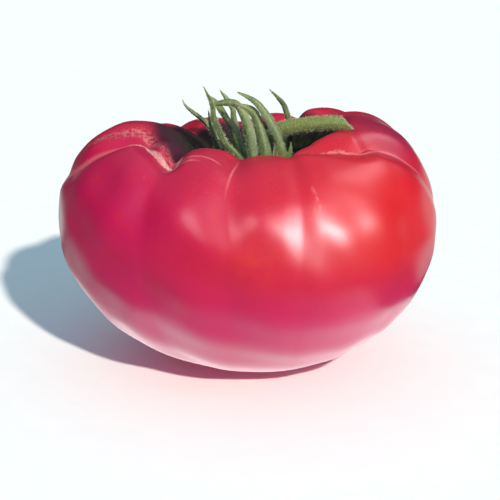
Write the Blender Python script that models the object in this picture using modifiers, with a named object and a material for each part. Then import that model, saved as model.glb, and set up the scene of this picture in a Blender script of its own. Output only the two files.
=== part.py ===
"""A ribbed pink beefsteak tomato standing on its blossom end, with its calyx and a cut stem.

Metres, +Z up. The origin is on the table under the middle of the fruit's box.
+X is the wide way across, -Y the front, and the stem end is on top.
"""

import math
from typing import NamedTuple

import bmesh
import bpy
from mathutils import Vector

MM = 0.001

# Moves the model so that the middle of its box stands over the origin, in millimetres.
BOX_OFFSET = (0.67, 0.23, 0.0)

# Fruit, in millimetres. Its body turns about a base axis a little right of the middle.
BASE_AXIS_X = 4.2
REACH_LEFT = 66.0
REACH_RIGHT = 58.3
REACH_DEEP = 54.0
EQUATOR_HEIGHT = 50.0
CREST_CENTRE_X = 1.0
CREST_REACH = (34.5, 27.0)
HOLLOW_CENTRE_X = 5.0
HOLLOW_FLOOR_RADIUS = 9.0
HOLLOW_FLOOR_HEIGHT = 60.0
REST_SINK = 1.0
REST_SOFTNESS = 0.8
DIMPLE_RADIUS = 4.8
DIMPLE_DEPTH = 1.1

# Height of the crest round the hollow, as (azimuth in degrees, millimetres).
CREST_HEIGHTS = (
    (0.0, 83.4),
    (45.0, 80.2),
    (95.0, 75.0),
    (140.0, 75.8),
    (180.0, 80.9),
    (208.0, 79.7),
    (248.0, 79.2),
    (264.0, 77.3),
    (278.0, 77.5),
    (298.0, 79.9),
    (325.0, 82.2),
)

# Fruit mesh: segments round the axis, and rings on the floor, wall, shoulder and side.
FRUIT_SEGMENTS = 112
FLOOR_RINGS = 2
WALL_RINGS = 10
SHOULDER_RINGS = 14
SIDE_RINGS = 17


class Valley(NamedTuple):
    """A soft groove between two lobes: azimuths in degrees, depths in millimetres."""

    rim: float
    side: float
    half_width: float
    rim_depth: float
    side_depth: float


# The front's five shallow valleys, then those of the back, anticlockwise seen from above.
VALLEYS = (
    Valley(231.0, 236.0, 14.0, 2.8, 1.4),
    Valley(263.0, 261.0, 10.0, 1.5, 0.9),
    Valley(288.0, 281.5, 6.0, 1.0, 0.35),
    Valley(310.0, 301.0, 6.5, 0.3, 0.3),
    Valley(332.0, 320.0, 12.0, 0.2, 0.6),
    Valley(4.0, 4.0, 26.0, 1.0, 4.0),
    Valley(18.0, 16.0, 13.0, 0.9, 1.6),
    Valley(40.0, 38.0, 14.0, 1.6, 1.2),
    Valley(68.0, 66.0, 15.0, 3.0, 1.3),
    Valley(97.0, 94.0, 15.0, 2.2, 1.0),
    Valley(127.0, 124.0, 15.0, 3.0, 1.3),
    Valley(156.0, 153.0, 14.0, 2.4, 0.9),
)

# A valley's section is partly a narrow rounded cusp, and the rest of it a soft swell.
CUSP_SHARE = 0.6
CUSP_ROUNDING = 0.1

# Sharp corky folds: half-width in millimetres, and the path as (station, azimuth, depth).
CREASES = (
    (
        7.0,
        (
            (1.50, 226.0, 1.5),
            (1.80, 225.0, 3.5),
            (1.96, 226.0, 4.0),
            (2.09, 229.0, 3.8),
            (2.20, 234.0, 3.2),
            (2.15, 226.0, 3.2),
            (2.10, 216.0, 3.4),
            (2.06, 207.0, 3.4),
            (2.15, 201.0, 3.0),
            (2.38, 196.0, 2.5),
            (2.58, 190.0, 1.9),
            (2.69, 181.0, 1.2),
            (2.76, 171.0, 0.6),
            (2.79, 163.0, 0.0),
        ),
    ),
    (
        4.5,
        (
            (1.95, 224.0, 1.4),
            (1.96, 211.0, 1.4),
            (1.99, 197.0, 1.4),
            (2.10, 189.0, 1.3),
            (2.34, 185.0, 0.8),
            (2.80, 182.0, 0.0),
        ),
    ),
    (
        7.5,
        (
            (1.50, 291.0, 1.0),
            (1.85, 292.0, 2.4),
            (1.99, 297.0, 3.0),
            (2.08, 308.0, 3.0),
            (2.22, 318.0, 2.8),
            (2.24, 327.0, 2.6),
            (2.36, 334.0, 2.4),
            (2.60, 342.0, 1.8),
            (2.82, 349.0, 1.0),
            (3.12, 355.0, 0.0),
        ),
    ),
    (
        7.0,
        ((1.5, 68.0, 1.0), (1.95, 68.0, 2.5), (2.3, 66.0, 1.8), (2.8, 65.0, 0.6), (3.2, 65.0, 0.0)),
    ),
    (
        7.0,
        ((1.5, 128.0, 1.0), (1.95, 128.0, 2.8), (2.3, 125.0, 2.0), (2.8, 123.0, 0.8), (3.3, 123.0, 0.0)),
    ),
)
CREASE_STEPS = 6

# Calyx: a low disc on the floor of the hollow, and strap-shaped sepals that lean left.
GAP = 0.3
DISC_RADIUS = 8.0
DISC_HEIGHT = 3.4
SEPAL_THICKNESS = 1.3
SEPAL_CHANNEL = 0.5
SEPAL_TAPER = 0.5
SEPAL_FOOT = 0.8
SEPAL_STEPS = 2


class Sepal(NamedTuple):
    """A sepal: its widest width, and points along its middle from the disc to the tip."""

    width: float
    path: tuple


SEPALS = (
    Sepal(
        3.6,
        (
            (1.5, -3.0, 62.0),
            (-1.2, -5.8, 66.0),
            (-3.5, -8.0, 71.8),
            (-7.6, -9.2, 77.4),
            (-10.7, -9.0, 84.8),
            (-11.3, -9.0, 89.4),
            (-14.0, -8.4, 95.0),
        ),
    ),
    Sepal(
        4.2,
        (
            (3.2, -4.2, 62.0),
            (2.0, -7.3, 65.0),
            (1.6, -9.0, 71.1),
            (0.0, -8.0, 81.3),
            (-2.8, -6.6, 87.6),
            (-5.7, -5.6, 88.9),
            (-12.3, -4.6, 88.0),
        ),
    ),
    Sepal(
        4.0,
        (
            (5.3, -4.5, 62.0),
            (5.6, -7.6, 65.0),
            (5.7, -9.2, 71.2),
            (4.8, -9.0, 77.7),
            (2.8, -7.8, 84.2),
            (0.9, -7.2, 86.8),
            (-4.4, -7.2, 89.2),
        ),
    ),
    Sepal(
        3.8,
        (
            (8.0, -3.6, 62.0),
            (10.6, -7.0, 65.0),
            (11.4, -9.0, 71.1),
            (9.9, -9.5, 77.5),
            (7.5, -9.4, 83.0),
            (2.8, -8.6, 89.6),
            (-3.4, -8.0, 93.0),
        ),
    ),
    Sepal(
        2.0,
        (
            (9.3, -2.0, 62.0),
            (12.2, -5.8, 66.0),
            (13.0, -8.6, 71.7),
            (13.6, -9.2, 77.1),
        ),
    ),
    Sepal(
        2.8,
        (
            (7.2, 2.6, 62.0),
            (9.4, 3.5, 69.1),
            (11.7, 5.0, 74.7),
            (13.3, 6.0, 79.5),
            (12.6, 6.4, 82.7),
            (11.3, 6.6, 85.7),
            (6.8, 7.4, 90.1),
        ),
    ),
    Sepal(
        2.4,
        (
            (1.2, 1.6, 62.0),
            (-2.6, 2.4, 66.0),
            (-9.0, 0.6, 75.1),
            (-14.1, 0.0, 81.4),
            (-19.5, 0.0, 86.0),
            (-21.0, 0.0, 88.7),
        ),
    ),
    Sepal(
        3.2,
        (
            (3.2, 3.6, 62.0),
            (1.4, 4.6, 65.0),
            (-2.6, 5.0, 72.0),
            (-5.2, 5.2, 77.7),
            (-10.3, 5.4, 86.0),
            (-13.5, 5.6, 88.6),
        ),
    ),
    Sepal(
        2.0,
        (
            (0.6, -1.0, 62.0),
            (-4.0, -3.0, 66.0),
            (-9.3, -4.5, 73.1),
            (-11.4, -5.0, 80.5),
            (-12.6, -5.2, 86.4),
        ),
    ),
    Sepal(
        2.8,
        (
            (4.6, 4.4, 62.0),
            (2.2, 6.6, 65.0),
            (-2.3, 7.6, 69.8),
            (-4.6, 8.4, 79.5),
            (-5.2, 8.4, 83.9),
            (-9.1, 8.2, 89.6),
        ),
    ),
)

# Stem: a bent pedicel that lies over the right-hand lobe and ends in a slanted cut.
STEM_RADIUS = 2.4
STEM_PATH = (
    (5.0, 0.0, 64.2),
    (5.2, 0.2, 68.0),
    (6.2, -0.6, 73.5),
    (9.2, -3.0, 78.6),
    (14.0, -5.8, 81.2),
    (20.0, -8.4, 82.8),
    (27.0, -11.2, 84.0),
    (34.0, -13.4, 84.3),
)
STEM_STEPS = 3
CUT_POINT = (30.8, -12.5, 84.2)
CUT_SLANT = 43.0
CUT_TURN = 0.16


def between(pairs, azimuth):
    """Reads a closed table of (degrees, value) at an azimuth, easing from one entry to the next."""
    azimuth %= 360.0
    for (start, low), (end, high) in zip(pairs, pairs[1:] + ((pairs[0][0] + 360.0, pairs[0][1]),)):
        if start <= azimuth < end:
            ease = 0.5 - 0.5 * math.cos(math.pi * (azimuth - start) / (end - start))
            return low + (high - low) * ease
    raise ValueError("the table starts at 0 degrees")


def mixed(first, second, share):
    """The point that lies a share of the way from the first to the second, in plan."""
    return first[0] + (second[0] - first[0]) * share, first[1] + (second[1] - first[1]) * share


def smooth_skin(station, azimuth):
    """Point of the skin before its valleys are pressed in.

    Station runs down the skin: 0 the middle of the hollow's floor, 1 the floor's edge,
    2 the crest, 3 the equator and 4 the middle of the underside.
    """
    angle = math.radians(azimuth)
    cosine, sine = math.cos(angle), math.sin(angle)
    crest_height = between(CREST_HEIGHTS, azimuth)
    floor = (HOLLOW_CENTRE_X + HOLLOW_FLOOR_RADIUS * cosine, HOLLOW_FLOOR_RADIUS * sine)
    crest = (CREST_CENTRE_X + CREST_REACH[0] * cosine, CREST_REACH[1] * sine)
    reach = REACH_RIGHT if cosine > 0.0 else REACH_LEFT
    equator = (BASE_AXIS_X + reach * cosine, REACH_DEEP * sine)
    if station <= 1.0:
        x, y = mixed((HOLLOW_CENTRE_X, 0.0), floor, station)
        z = HOLLOW_FLOOR_HEIGHT
    elif station <= 2.0:
        down = 2.0 - station
        x, y = mixed(crest, floor, down)
        fall = down * down * (1.0 + 2.0 * down - 2.0 * down * down)
        z = crest_height + (HOLLOW_FLOOR_HEIGHT - crest_height) * fall
    elif station <= 3.0:
        turn = math.radians(90.0 * (station - 2.0))
        x, y = mixed(crest, equator, math.sin(turn))
        z = EQUATOR_HEIGHT + (crest_height - EQUATOR_HEIGHT) * math.cos(turn)
    else:
        turn = math.radians(90.0 * (station - 3.0))
        x, y = mixed((BASE_AXIS_X, 0.0), equator, math.cos(turn))
        z = EQUATOR_HEIGHT - (EQUATOR_HEIGHT + REST_SINK) * math.sin(turn)
    return Vector((x, y, z))


def valley_depth(station, azimuth):
    """How deep the soft valleys press the skin in, in millimetres."""
    outward = min(max(station - 2.0, 0.0), 1.0)
    depth = 0.0
    for valley in VALLEYS:
        centre = valley.side + (valley.rim - valley.side) * (1.0 - outward) ** 1.5
        aside = abs((azimuth - centre + 180.0) % 360.0 - 180.0) / valley.half_width
        if aside >= 1.0:
            continue
        if station < 2.0:
            along = valley.rim_depth * (0.25 + 0.75 * max(station - 1.0, 0.0) ** 1.5)
        else:
            along = valley.side_depth + (valley.rim_depth - valley.side_depth) * (1.0 - outward) ** 1.4
        if station > 3.0:
            along *= max(1.0 - (station - 3.0) / 0.8, 0.0) ** 1.2
        if station < 1.0:
            along *= station
        soft = math.cos(0.5 * math.pi * aside) ** 2
        cusp = (1.0 - min(math.hypot(aside, CUSP_ROUNDING), 1.0)) ** 2
        depth += along * (soft + (cusp - soft) * CUSP_SHARE)
    return depth


def through(points, steps):
    """A Catmull-Rom line through the points, as vectors, with this many steps a span."""
    points = [Vector(point) for point in points]
    line = []
    for i in range(len(points) - 1):
        before, start, end = points[max(i - 1, 0)], points[i], points[i + 1]
        after = points[min(i + 2, len(points) - 1)]
        for step in range(steps):
            t = step / steps
            slope = end - before
            bend = 2.0 * before - 5.0 * start + 4.0 * end - after
            twist = 3.0 * start - before - 3.0 * end + after
            line.append(start + 0.5 * (slope * t + bend * t**2 + twist * t**3))
    return line + [points[-1]]


def crease_lines():
    """Each crease as (half-width, points of the smooth skin with their depths)."""
    lines = []
    for half_width, path in CREASES:
        places = through(path, CREASE_STEPS)
        line = [(smooth_skin(place.x, place.y), max(place.z, 0.0)) for place in places]
        lines.append((half_width, line))
    return lines


def crease_depth(point, lines):
    """How deep the creases press in a point of the smooth skin, in millimetres."""
    total = 0.0
    for half_width, line in lines:
        deepest = 0.0
        for (start, start_depth), (end, end_depth) in zip(line, line[1:]):
            if (point - start).length > half_width + 6.0:
                continue
            run = end - start
            share = min(max((point - start).dot(run) / run.length_squared, 0.0), 1.0)
            away = (point - start - run * share).length / half_width
            if away < 1.0:
                depth = start_depth + (end_depth - start_depth) * share
                deepest = max(deepest, depth * (0.5 + 0.5 * math.cos(math.pi * away)))
        total += deepest
    return total


def rested(point):
    """Presses the underside flat where it meets the table, and dimples its blossom scar."""
    height = point.z
    if height <= 0.0:
        height = 0.0
    elif height < REST_SOFTNESS:
        height = height * height * (2.0 * REST_SOFTNESS - height) / REST_SOFTNESS**2
    aside = math.hypot(point.x - BASE_AXIS_X, point.y) / DIMPLE_RADIUS
    if point.z < EQUATOR_HEIGHT / 2.0 and aside < 1.0:
        height += DIMPLE_DEPTH * (1.0 - aside * aside) ** 2
    return Vector((point.x, point.y, height))


def skin_point(station, azimuth, lines):
    """Point of the finished skin: the smooth body with its valleys and creases, on the table."""
    point = smooth_skin(station, azimuth)
    depth = valley_depth(station, azimuth) + crease_depth(point, lines)
    if depth > 0.0:
        step = 0.002
        above, below = max(station - step, 0.0), min(station + step, 4.0)
        along = smooth_skin(below, azimuth) - smooth_skin(above, azimuth)
        around = smooth_skin(station, azimuth + 0.2) - smooth_skin(station, azimuth - 0.2)
        normal = around.cross(along) if around.length else Vector()
        if normal.length:
            point += normal.normalized() * depth
    return rested(point)


def ring_stations():
    """Station of each ring of the fruit mesh, from the floor of the hollow to the underside."""
    stations = []
    for start, rings in enumerate((FLOOR_RINGS, WALL_RINGS, SHOULDER_RINGS, SIDE_RINGS)):
        stations += [start + step / rings for step in range(rings)]
    return stations + [4.0]


def make_fruit(collection):
    """A sphere's rings and segments carried onto the skin."""
    stations = ring_stations()
    lines = crease_lines()
    shape = bmesh.new()
    bmesh.ops.create_uvsphere(
        shape, u_segments=FRUIT_SEGMENTS, v_segments=len(stations) - 1, radius=1.0
    )
    last = len(stations) - 1
    for vertex in shape.verts:
        ring = round(math.acos(max(-1.0, min(1.0, vertex.co.z))) / math.pi * last)
        azimuth = 0.0
        if 0 < ring < last:
            azimuth = math.degrees(math.atan2(vertex.co.y, vertex.co.x))
        vertex.co = skin_point(stations[ring], azimuth, lines) * MM
    bmesh.ops.recalc_face_normals(shape, faces=shape.faces)
    mesh = bpy.data.meshes.new("fruit")
    shape.to_mesh(mesh)
    shape.free()
    mesh.shade_smooth()
    fruit = bpy.data.objects.new("fruit", mesh)
    collection.objects.link(fruit)
    return fruit


def add_material(thing, colour, roughness, subsurface=0.0):
    """A Principled material with the thing's name, put on the object."""
    material = bpy.data.materials.new(thing.name)
    material.use_nodes = True
    shader = material.node_tree.nodes["Principled BSDF"]
    shader.inputs["Base Color"].default_value = (*colour, 1.0)
    shader.inputs["Roughness"].default_value = roughness
    shader.inputs["Metallic"].default_value = 0.0
    shader.inputs["Subsurface Weight"].default_value = subsurface
    thing.data.materials.append(material)
    material.diffuse_color = (*colour, 1.0)


def new_object(name, shape, collection):
    """Turns a bmesh into a linked object, shaded smooth."""
    mesh = bpy.data.meshes.new(name)
    shape.to_mesh(mesh)
    shape.free()
    mesh.shade_smooth()
    thing = bpy.data.objects.new(name, mesh)
    collection.objects.link(thing)
    return thing


def evaluated_mesh(thing):
    """A new mesh of the object as its modifiers leave it."""
    bpy.context.view_layer.update()
    depsgraph = bpy.context.evaluated_depsgraph_get()
    return bpy.data.meshes.new_from_object(thing.evaluated_get(depsgraph))


def sepal_width(sepal, share):
    """A sepal's width at a share of its length: a narrow foot, its full width, then a taper."""
    foot = SEPAL_FOOT + (1.0 - SEPAL_FOOT) * math.sin(math.pi * min(share / 0.6, 0.5))
    return sepal.width * (1.0 - SEPAL_TAPER * share**1.8) * foot


def make_sepal(index, sepal, collection):
    """A strip laid along the sepal's path, its edges bent in towards the stem, with thickness."""
    line = through(sepal.path, SEPAL_STEPS)
    rows = len(line) - 1
    shape = bmesh.new()
    bmesh.ops.create_grid(shape, x_segments=3, y_segments=rows, size=1.0)
    axis = Vector((HOLLOW_CENTRE_X, 0.0, 0.0))
    for vertex in shape.verts:
        across = vertex.co.x
        row = round((vertex.co.y + 1.0) / 2.0 * rows)
        centre = line[row]
        along = (line[min(row + 1, rows)] - line[max(row - 1, 0)]).normalized()
        outward = centre - axis
        outward.z = 0.0
        side = along.cross(outward).normalized()
        outward = side.cross(along).normalized()
        width = sepal_width(sepal, row / rows)
        channel = SEPAL_CHANNEL * (across * width / sepal.width) ** 2
        vertex.co = (centre + side * across * width / 2.0 - outward * channel) * MM
    bmesh.ops.recalc_face_normals(shape, faces=shape.faces)
    strip = new_object(f"sepal_{index}", shape, collection)
    thickness = strip.modifiers.new("thickness", "SOLIDIFY")
    thickness.thickness = SEPAL_THICKNESS * MM
    thickness.offset = 0.0
    strip.hide_render = True
    strip.display_type = "WIRE"


def make_calyx(parts, helpers):
    """The disc with its sepals joined to it in one Boolean union."""
    shape = bmesh.new()
    bmesh.ops.create_uvsphere(shape, u_segments=28, v_segments=10, radius=1.0)
    for vertex in shape.verts:
        height = max(vertex.co.z, -0.35)
        vertex.co = Vector(
            (
                HOLLOW_CENTRE_X + DISC_RADIUS * vertex.co.x,
                DISC_RADIUS * vertex.co.y,
                HOLLOW_FLOOR_HEIGHT + GAP + DISC_HEIGHT * (height + 0.35) / 1.35,
            )
        ) * MM
    calyx = new_object("calyx", shape, parts)
    for index, sepal in enumerate(SEPALS):
        make_sepal(index, sepal, helpers)
    union = calyx.modifiers.new("sepals", "BOOLEAN")
    union.operation = "UNION"
    union.operand_type = "COLLECTION"
    union.collection = helpers
    joined = evaluated_mesh(calyx)
    calyx.modifiers.clear()
    calyx.data = joined
    for strip in list(helpers.objects):
        bpy.data.objects.remove(strip, do_unlink=True)
    return calyx


def make_stem(collection):
    """A round bevelled curve along the stem's path, made a mesh and cut off at a slant."""
    curve = bpy.data.curves.new("stem", "CURVE")
    curve.dimensions = "3D"
    curve.bevel_depth = STEM_RADIUS * MM
    curve.bevel_resolution = 3
    curve.use_fill_caps = True
    line = through(STEM_PATH, STEM_STEPS)
    spline = curve.splines.new("POLY")
    spline.points.add(len(line) - 1)
    for i, (point, place) in enumerate(zip(spline.points, line)):
        share = i / (len(line) - 1)
        point.co = (*(place * MM), 1.0)
        point.radius = 0.87 + 0.25 * (1.0 - share) ** 2
    guide = bpy.data.objects.new("stem_line", curve)
    collection.objects.link(guide)
    mesh = evaluated_mesh(guide)
    bpy.data.objects.remove(guide, do_unlink=True)
    shape = bmesh.new()
    shape.from_mesh(mesh)
    bpy.data.meshes.remove(mesh)
    bmesh.ops.remove_doubles(shape, verts=shape.verts, dist=0.00001)
    slant = math.radians(CUT_SLANT)
    bmesh.ops.bisect_plane(
        shape,
        geom=shape.verts[:] + shape.edges[:] + shape.faces[:],
        plane_co=Vector(CUT_POINT) * MM,
        plane_no=(math.cos(slant), CUT_TURN, math.sin(slant)),
        clear_outer=True,
    )
    bmesh.ops.holes_fill(shape, edges=shape.edges, sides=0)
    bmesh.ops.recalc_face_normals(shape, faces=shape.faces)
    return new_object("stem", shape, collection)


def main():
    """Clears the scene and builds the tomato."""
    for old in list(bpy.data.objects):
        bpy.data.objects.remove(old, do_unlink=True)
    parts = bpy.data.collections.new("beefsteak_tomato")
    helpers = bpy.data.collections.new("helpers")
    bpy.context.scene.collection.children.link(parts)
    bpy.context.scene.collection.children.link(helpers)
    fruit = make_fruit(parts)
    calyx = make_calyx(parts, helpers)
    stem = make_stem(parts)
    for piece in (fruit, calyx, stem):
        piece.location = Vector(BOX_OFFSET) * MM
    add_material(fruit, (0.52, 0.03, 0.09), 0.22, 0.1)
    add_material(calyx, (0.13, 0.22, 0.05), 0.6)
    add_material(stem, (0.20, 0.23, 0.05), 0.6)


if __name__ == "__main__":
    main()
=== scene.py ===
"""Finish and fine forms of a ribbed pink beefsteak tomato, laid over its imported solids.

Lengths are in millimetres until a mesh is written. Azimuths are in degrees, anticlockwise from +X
seen from above, so 270 is the front. A station tells how far down the skin a point lies: 0 is the
middle of the hollow's floor, 1 the floor's edge, 2 the crest, 3 the equator and 4 the middle of
the underside.
"""

import logging
import math
from collections.abc import Callable, Iterator
from dataclasses import dataclass
from enum import Enum
from functools import cached_property

import bmesh
import bpy
import numpy as np
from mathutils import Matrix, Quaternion, Vector


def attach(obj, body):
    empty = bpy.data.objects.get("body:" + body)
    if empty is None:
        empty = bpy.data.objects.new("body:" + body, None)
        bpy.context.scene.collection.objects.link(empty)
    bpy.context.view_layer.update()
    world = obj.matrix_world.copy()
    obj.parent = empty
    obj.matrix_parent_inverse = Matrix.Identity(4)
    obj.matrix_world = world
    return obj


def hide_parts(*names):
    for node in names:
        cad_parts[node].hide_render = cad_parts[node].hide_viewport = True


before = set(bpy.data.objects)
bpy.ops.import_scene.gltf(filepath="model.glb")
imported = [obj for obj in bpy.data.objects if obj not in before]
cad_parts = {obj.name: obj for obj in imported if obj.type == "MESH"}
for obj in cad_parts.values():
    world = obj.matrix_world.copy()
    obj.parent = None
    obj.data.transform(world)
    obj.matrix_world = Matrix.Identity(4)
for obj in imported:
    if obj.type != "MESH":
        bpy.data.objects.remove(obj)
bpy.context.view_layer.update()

MM = 0.001
BOX_OFFSET = np.array((0.67, 0.23, 0.0))

Colour = tuple[float, float, float, float]
Point = tuple[float, float, float]
Wave = tuple[float, float, float, float]
Ends = tuple[float, float, float, float]
Socket = bpy.types.NodeSocket

log = logging.getLogger("tomato")


def paint(red: int, green: int, blue: int) -> Colour:
    """The linear colour of three screen values.

    Args:
        red: Red, 0 to 255.
        green: Green, 0 to 255.
        blue: Blue, 0 to 255.

    Returns:
        The colour with full alpha.
    """
    linear = []
    for value in (red / 255.0, green / 255.0, blue / 255.0):
        linear.append(value / 12.92 if value <= 0.04045 else ((value + 0.055) / 1.055) ** 2.4)
    return (linear[0], linear[1], linear[2], 1.0)


def sign(operation: str, flipped: bool = False) -> Callable[["Value", "Number"], "Value"]:
    """The method behind an arithmetic sign, which adds a Math node.

    Args:
        operation: What the node does.
        flipped: Whether the other operand comes first.

    Returns:
        The method.
    """

    def joined(value: "Value", other: "Number") -> "Value":
        """Joins two operands in one node."""
        operands = (other, value) if flipped else (value, other)
        return value.tree.math(operation, *operands)

    return joined


@dataclass(frozen=True)
class Value:
    """A number that varies over a piece: a socket whose signs add Math nodes."""

    tree: "Tree"
    socket: Socket

    __add__ = sign("ADD")
    __radd__ = sign("ADD", flipped=True)
    __sub__ = sign("SUBTRACT")
    __rsub__ = sign("SUBTRACT", flipped=True)
    __mul__ = sign("MULTIPLY")
    __rmul__ = sign("MULTIPLY", flipped=True)

    def __abs__(self) -> "Value":
        """Size without its sign."""
        return self.tree.math("ABSOLUTE", self)

    def clamped(self) -> "Value":
        """The value kept between 0 and 1."""
        return self.tree.math("ADD", self, 0.0, clamp=True)

    def eased(self, low: float, high: float) -> "Value":
        """A smooth step over this value.

        Args:
            low: Where the step is 0. It may be the larger of the two.
            high: Where the step is 1.

        Returns:
            0 to 1, eased at both ends.
        """
        node = self.tree.add(
            "ShaderNodeMapRange",
            {"interpolation_type": "SMOOTHSTEP"},
            {"Value": self, "From Min": low, "From Max": high},
        )
        return Value(self.tree, node.outputs["Result"])


Number = Value | float
Feed = Value | Socket | float | int | tuple | bpy.types.Material | None


class Tree:
    """Adds nodes to one node tree, each from its type, its settings and its inputs."""

    def __init__(self, nodes: bpy.types.NodeTree) -> None:
        """Starts on an empty tree.

        Args:
            nodes: The node tree, whose nodes are cleared.
        """
        self.nodes = nodes
        nodes.nodes.clear()

    @staticmethod
    def find(sockets: bpy.types.NodeInputs, key: str | int) -> Socket:
        """The socket in use that has this name, or stands at this place.

        Args:
            sockets: A node's inputs or outputs.
            key: Name or index.

        Returns:
            The socket.
        """
        if isinstance(key, int):
            return sockets[key]
        return next(socket for socket in sockets if socket.name == key and socket.enabled)

    def feed(self, socket: Socket, value: Feed) -> None:
        """Links a socket, or sets its own value.

        Args:
            socket: The input.
            value: A value or socket to link, or a constant to set.
        """
        if isinstance(value, Value):
            value = value.socket
        if isinstance(value, Socket):
            self.nodes.links.new(value, socket)
        else:
            socket.default_value = value

    def add(self, kind: str, settings: dict | None = None, inputs: dict | None = None) -> bpy.types.Node:
        """Adds a node.

        Args:
            kind: The node's type.
            settings: Its properties, set first. "stops" fills a colour ramp with (place, colour).
            inputs: Constants or links, by socket name or index.

        Returns:
            The node.
        """
        node = self.nodes.nodes.new(kind)
        for name, value in (settings or {}).items():
            if name == "stops":
                ramp = node.color_ramp.elements
                while len(ramp) < len(value):
                    ramp.new(0.5)
                for stop, (place, colour) in zip(ramp, value):
                    stop.position = place
                    stop.color = colour
            else:
                setattr(node, name, value)
        for key, value in (inputs or {}).items():
            self.feed(self.find(node.inputs, key), value)
        return node

    def math(self, operation: str, *values: Number, clamp: bool = False) -> Value:
        """A Math node.

        Args:
            operation: What it does.
            values: Its operands.
            clamp: Whether the result is kept between 0 and 1.

        Returns:
            The result.
        """
        settings = {"operation": operation, "use_clamp": clamp}
        node = self.add("ShaderNodeMath", settings, dict(enumerate(values)))
        return Value(self, node.outputs[0])

    def mix(self, factor: Number, first: Feed, second: Feed) -> Socket:
        """Mixes two colours.

        Args:
            factor: Share of the second colour.
            first: The first colour.
            second: The second colour.

        Returns:
            The colour.
        """
        inputs = {"Factor": factor, "A": first, "B": second}
        return self.find(self.add("ShaderNodeMix", {"data_type": "RGBA"}, inputs).outputs, "Result")

    def layered(self, colour: Feed, *layers: tuple[Number, Feed]) -> Socket:
        """Lays colours over each other.

        Args:
            colour: The lowest colour.
            layers: How far each further one covers what is under it, and its colour.

        Returns:
            The colour that shows.
        """
        for share, cover in layers:
            colour = self.mix(share, colour, cover)
        return colour

    def vector(self, operation: str, inputs: dict) -> bpy.types.Node:
        """A Vector Math node.

        Args:
            operation: What it does.
            inputs: Its operands, by socket name or index.

        Returns:
            The node.
        """
        return self.add("ShaderNodeVectorMath", {"operation": operation}, inputs)

    @cached_property
    def place(self) -> Socket:
        """Object coordinates in millimetres."""
        coordinates = self.add("ShaderNodeTexCoord").outputs["Object"]
        return self.vector("SCALE", {0: coordinates, "Scale": 1.0 / MM}).outputs[0]

    def noise(self, size: float, detail: float = 2.0, stretch: Point | None = None) -> Value:
        """Soft noise over the piece, between 0 and 1.

        Args:
            size: Size of its features in millimetres.
            detail: Octaves of finer noise.
            stretch: What the coordinates' three parts are multiplied by first.

        Returns:
            The noise.
        """
        place = self.vector("MULTIPLY", {0: self.place, 1: stretch}).outputs[0] if stretch else self.place
        inputs = {"Vector": place, "Scale": 1.0 / size, "Detail": detail}
        return Value(self, self.add("ShaderNodeTexNoise", None, inputs).outputs[0])

    def dots(self, pitch: float, radius: float, share: float) -> Value:
        """Round dots scattered one to a cell.

        Args:
            pitch: Mean distance from one cell to the next.
            radius: Radius of the largest dots.
            share: Share of the cells that hold a dot.

        Returns:
            1 in the middle of a dot and 0 outside it.
        """
        full_share = 0.6
        cells = self.add("ShaderNodeTexVoronoi", None, {"Vector": self.place, "Scale": 1.0 / pitch})
        luck = self.add("ShaderNodeSeparateColor", None, {"Color": cells.outputs["Color"]})
        present = Value(self, luck.outputs[0]).eased(1.0 - share, 1.0 - full_share * share)
        away = Value(self, cells.outputs["Distance"]) * (pitch / radius)
        return (1.0 - away).clamped() * present

    def carried(self, name: str) -> Value:
        """A value that the mesh carries on its points.

        Args:
            name: The attribute's name.

        Returns:
            The value.
        """
        return Value(self, self.add("ShaderNodeAttribute", {"attribute_name": name}).outputs["Fac"])

    def blot(self, centre: Point, reach: float) -> Value:
        """A soft round patch.

        Args:
            centre: Its middle in millimetres.
            reach: Its radius.

        Returns:
            1 in the middle and 0 beyond the reach.
        """
        away = self.vector("DISTANCE", {0: self.place, 1: centre}).outputs["Value"]
        return Value(self, away).eased(reach, 0.0)

    def bumped(self, height: Value, depth: float) -> Socket:
        """The surface normal over a relief.

        Args:
            height: The relief, as a share of its depth.
            depth: How high a value of 1 stands, in millimetres.

        Returns:
            The normal.
        """
        inputs = {"Height": height, "Distance": depth * MM}
        return self.add("ShaderNodeBump", None, inputs).outputs["Normal"]


def new_material(name: str, fixed: dict[str, Feed]) -> tuple[bpy.types.Material, Tree, bpy.types.Node]:
    """A Principled material.

    Args:
        name: The material's name.
        fixed: The shader's constants, by socket name.

    Returns:
        The material, its tree and its shader node.
    """
    material = bpy.data.materials.new(name)
    material.use_nodes = True
    tree = Tree(material.node_tree)
    shader = tree.add("ShaderNodeBsdfPrincipled", None, fixed)
    tree.add("ShaderNodeOutputMaterial", None, {"Surface": shader.outputs["BSDF"]})
    return material, tree, shader


def linked(name: str, data: bpy.types.ID) -> bpy.types.Object:
    """Makes an object and links it to the scene.

    Args:
        name: Its name.
        data: The mesh, light or camera that it shows.

    Returns:
        The object.
    """
    thing = bpy.data.objects.new(name, data)
    bpy.context.scene.collection.objects.link(thing)
    return thing


class MarkKind(Enum):
    """How a mark on the skin looks."""

    CORK = "cork"
    GOLD = "gold"
    SCAR_AND_HIGHLIGHT = "scar"


@dataclass(frozen=True)
class Mark:
    """A line on the skin, through points of (station, azimuth, half-width, strength): most are healed into
    it, one is a painted highlight.
    """

    kind: MarkKind
    path: tuple[tuple[float, float, float, float], ...]


@dataclass(frozen=True)
class Valley:
    """A soft groove between two lobes."""

    rim: float
    side: float
    half_width: float
    rim_depth: float
    side_depth: float


@dataclass(frozen=True)
class Crease:
    """A sharp fold, through points of (station, azimuth, depth)."""

    half_width: float
    path: tuple[Point, ...]


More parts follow.
